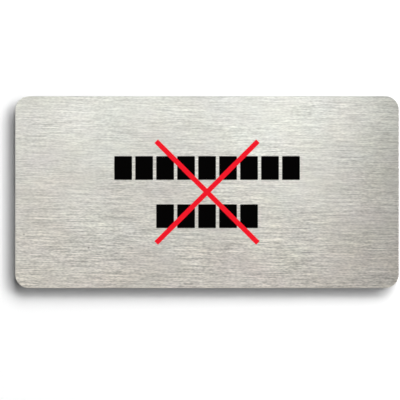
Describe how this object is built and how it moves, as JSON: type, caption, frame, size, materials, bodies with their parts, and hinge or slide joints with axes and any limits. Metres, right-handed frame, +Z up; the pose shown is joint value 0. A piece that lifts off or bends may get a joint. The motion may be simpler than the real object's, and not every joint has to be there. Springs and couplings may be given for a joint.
{
  "type": "lift warning sign",
  "caption": "Flat self-adhesive wall sign for a lift: a brushed aluminium plate with round corners, a red diagonal cross over rows of plain black print, and foam tape behind.",
  "frame": {"origin": "centre of the back face of the mounting tape, in the plane of the wall", "axes": "+X to the reader's right along the sign, +Z up, +Y into the wall, so the print faces -Y"},
  "size_m": [0.16, 0.0026, 0.08],
  "materials": {
    "brushed_plate": "fine horizontal brushing under a clear satin anodised skin",
    "foam_tape": "white closed-cell foam with a tacky adhesive film",
    "red_ink": "satin printed ink",
    "black_ink": "satin printed ink"
  },
  "bodies": {
    "root": {"sign_plate": "brushed_plate", "mounting_tape": "foam_tape", "red_cross": "red_ink", "upper_print_row": "black_ink", "lower_print_row": "black_ink"}
  },
  "joints": []
}
